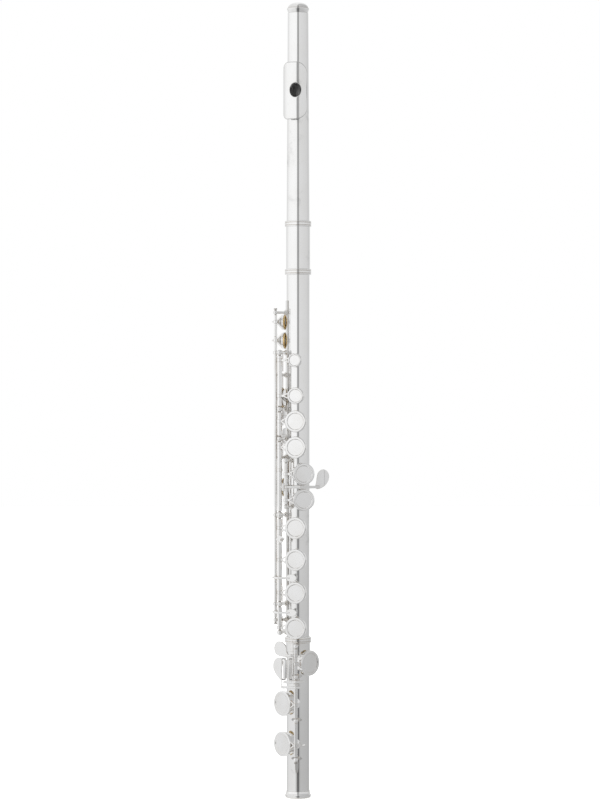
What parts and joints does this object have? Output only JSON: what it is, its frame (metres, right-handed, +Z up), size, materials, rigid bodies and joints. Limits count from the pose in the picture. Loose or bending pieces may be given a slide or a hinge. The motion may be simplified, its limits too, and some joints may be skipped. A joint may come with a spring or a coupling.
{
  "type": "concert flute",
  "caption": "Transverse concert flute with a C foot: a three-joint silvered tube with padded plateau keys on rods, offset G keys, trill keys, thumb keys and a sliding head joint.",
  "frame": {"origin": "centre of the tube's bore at the open end of the foot joint", "axes": "+Z up the tube towards the crown, -Y out of the line of keys, +X to the right when the keys face the viewer and the crown is up"},
  "size_m": [0.0488, 0.0375, 0.6807],
  "materials": {
    "silver_tube": "polished silver plate",
    "silver_lip": "polished silver plate",
    "silver_fittings": "polished silver plate",
    "silver_keys": "polished silver plate",
    "silver_rollers": "polished silver plate",
    "pad_skin": "golden skin over felt",
    "spring_steel": "drawn needle wire, straw tint",
    "steel": "ground steel",
    "cork": "bare cork"
  },
  "bodies": {
    "foot_joint": {"foot_tube": "silver_tube", "foot_receiver": "silver_tube", "foot_end_ring": "silver_fittings", "foot_posts": "silver_fittings", "foot_steel": "steel", "foot_springs": "spring_steel", "foot_screws": "steel"},
    "body_joint": {"body_tube": "silver_tube", "barrel": "silver_tube", "barrel_rings": "silver_fittings", "main_rib": "silver_fittings", "posts": "silver_fittings", "upper_stack_steel": "steel", "lower_stack_steel": "steel", "thumb_steel": "steel", "g_steel": "steel", "pivot_screws": "steel", "needle_springs": "spring_steel"},
    "head_joint": {"head_tube": "silver_tube", "riser": "silver_lip", "lip_plate": "silver_lip"},
    "stopper": {"stopper_cork": "cork", "stopper_rod": "steel"},
    "crown": {"crown": "silver_fittings"},
    "c": {"c_key": "silver_keys", "c_pads": "pad_skin"},
    "a_sharp": {"a_sharp_key": "silver_keys", "a_sharp_pad": "pad_skin"},
    "a": {"a_key": "silver_keys", "a_pad": "pad_skin"},
    "g": {"g_key": "silver_keys", "g_pads": "pad_skin"},
    "g_sharp": {"g_sharp_key": "silver_keys", "g_sharp_pad": "pad_skin"},
    "f_sharp": {"f_sharp_key": "silver_keys", "f_sharp_pad": "pad_skin", "adjusting_screw": "steel"},
    "f": {"f_key": "silver_keys", "f_pad": "pad_skin"},
    "e": {"e_key": "silver_keys", "e_pad": "pad_skin"},
    "d": {"d_key": "silver_keys", "d_pad": "pad_skin"},
    "d_trill": {"d_trill_key": "silver_keys", "d_trill_pad": "pad_skin"},
    "d_sharp_trill": {"d_sharp_trill_key": "silver_keys", "d_sharp_trill_pad": "pad_skin"},
    "thumb_b": {"thumb_b_key": "silver_keys", "thumb_b_pad": "pad_skin"},
    "thumb_b_flat": {"thumb_b_flat_lever": "silver_keys"},
    "low_d_sharp": {"low_d_sharp_key": "silver_keys", "low_d_sharp_pad": "pad_skin"},
    "low_c_sharp": {"low_c_sharp_key": "silver_keys", "low_c_sharp_pad": "pad_skin"},
    "low_c": {"low_c_key": "silver_keys", "low_c_pad": "pad_skin"},
    "c_sharp_roller": {"c_sharp_roller": "silver_rollers"},
    "c_roller": {"c_roller": "silver_rollers"}
  },
  "joints": [
    {"name": "foot_swivel", "type": "hinge", "parent": "foot_joint", "child": "body_joint", "pos_m": [0, 0, 0.13], "axis": [0, 0, 1], "range_deg": [-20, 20]},
    {"name": "head_slide", "type": "slide", "parent": "body_joint", "child": "head_joint", "axis": [0, 0, 1], "range_m": [0, 0.01]},
    {"name": "crown_turn", "type": "hinge", "parent": "head_joint", "child": "crown", "pos_m": [0, 0, 0.675], "axis": [0, 0, 1], "range_deg": [-720, 720]},
    {"name": "stopper_slide", "type": "slide", "parent": "head_joint", "child": "stopper", "axis": [0, 0, 1], "range_m": [-0.0016, 0.0016]},
    {"name": "c_press", "type": "hinge", "parent": "body_joint", "child": "c", "pos_m": [-0.0145, -0.0115, 0.356], "axis": [0, 0, 1], "range_deg": [0, 7], "stiffness_Nm_per_rad": 0.01, "springref_deg": -17.19},
    {"name": "a_sharp_press", "type": "hinge", "parent": "body_joint", "child": "a_sharp", "pos_m": [-0.0145, -0.0115, 0.32], "axis": [0, 0, 1], "range_deg": [0, 7], "stiffness_Nm_per_rad": 0.01, "springref_deg": -17.19},
    {"name": "a_press", "type": "hinge", "parent": "body_joint", "child": "a", "pos_m": [-0.0145, -0.0115, 0.275], "axis": [0, 0, 1], "range_deg": [0, 7], "stiffness_Nm_per_rad": 0.01, "springref_deg": -17.19},
    {"name": "f_sharp_press", "type": "hinge", "parent": "body_joint", "child": "f_sharp", "pos_m": [-0.0145, -0.0115, 0.228], "axis": [0, 0, 1], "range_deg": [0, 7], "stiffness_Nm_per_rad": 0.01, "springref_deg": -17.19},
    {"name": "f_press", "type": "hinge", "parent": "body_joint", "child": "f", "pos_m": [-0.0145, -0.0115, 0.203], "axis": [0, 0, 1], "range_deg": [0, 7], "stiffness_Nm_per_rad": 0.01, "springref_deg": -17.19},
    {"name": "e_press", "type": "hinge", "parent": "body_joint", "child": "e", "pos_m": [-0.0145, -0.0115, 0.18], "axis": [0, 0, 1], "range_deg": [0, 7], "stiffness_Nm_per_rad": 0.01, "springref_deg": -17.19},
    {"name": "d_press", "type": "hinge", "parent": "body_joint", "child": "d", "pos_m": [-0.0145, -0.0115, 0.154], "axis": [0, 0, 1], "range_deg": [0, 7], "stiffness_Nm_per_rad": 0.01, "springref_deg": -17.19},
    {"name": "g_press", "type": "hinge", "parent": "body_joint", "child": "g", "pos_m": [-0.0087, -0.0168, 0.268], "axis": [0, 0, 1], "range_deg": [0, 7], "stiffness_Nm_per_rad": 0.01, "springref_deg": -17.19},
    {"name": "g_sharp_press", "type": "hinge", "parent": "body_joint", "child": "g_sharp", "pos_m": [-0.0087, -0.0168, 0.2659], "axis": [0, 0, 1], "range_deg": [0, 6], "stiffness_Nm_per_rad": 0.01, "springref_deg": -17.19},
    {"name": "d_trill_press", "type": "hinge", "parent": "body_joint", "child": "d_trill", "pos_m": [-0.0184, -0.009, 0.29], "axis": [0, 0, 1], "range_deg": [0, 9], "stiffness_Nm_per_rad": 0.01, "springref_deg": -17.19},
    {"name": "d_sharp_trill_press", "type": "hinge", "parent": "body_joint", "child": "d_sharp_trill", "pos_m": [-0.0184, -0.009, 0.283], "axis": [0, 0, 1], "range_deg": [0, 9], "stiffness_Nm_per_rad": 0.01, "springref_deg": -17.19},
    {"name": "thumb_b_press", "type": "hinge", "parent": "body_joint", "child": "thumb_b", "pos_m": [-0.0153, -0.0072, 0.338], "axis": [0, 0, -1], "range_deg": [0, 7], "stiffness_Nm_per_rad": 0.01, "springref_deg": -17.19},
    {"name": "thumb_b_flat_press", "type": "hinge", "parent": "body_joint", "child": "thumb_b_flat", "pos_m": [-0.0153, -0.0072, 0.305], "axis": [0, 0, -1], "range_deg": [0, 7], "stiffness_Nm_per_rad": 0.01, "springref_deg": -17.19},
    {"name": "low_d_sharp_press", "type": "hinge", "parent": "foot_joint", "child": "low_d_sharp", "pos_m": [0, -0.019, 0.117], "axis": [0, 0, -1], "range_deg": [0, 8], "stiffness_Nm_per_rad": 0.01, "springref_deg": -17.19},
    {"name": "low_c_sharp_press", "type": "hinge", "parent": "foot_joint", "child": "low_c_sharp", "pos_m": [0, -0.019, 0.085], "axis": [0, 0, -1], "range_deg": [0, 7], "stiffness_Nm_per_rad": 0.01, "springref_deg": -17.19},
    {"name": "low_c_press", "type": "hinge", "parent": "foot_joint", "child": "low_c", "pos_m": [0, -0.019, 0.06], "axis": [0, 0, -1], "range_deg": [0, 7], "stiffness_Nm_per_rad": 0.01, "springref_deg": -17.19},
    {"name": "c_sharp_roller_spin", "type": "hinge", "parent": "low_c_sharp", "child": "c_sharp_roller", "pos_m": [-0.00895, -0.02, 0.1134], "axis": [0, 0, 1], "continuous": true},
    {"name": "c_roller_spin", "type": "hinge", "parent": "low_c", "child": "c_roller", "pos_m": [-0.00522, -0.01994, 0.1134], "axis": [0, 0, 1], "continuous": true}
  ],
  "couplings": [
    {"joint": "crown_turn", "follows": "stopper_slide", "rad_per_m": 7854},
    {"joint": "a_sharp_press", "follows": "a_press", "ratio": 1},
    {"joint": "f_sharp_press", "follows": "f_press", "ratio": 1}
  ]
}
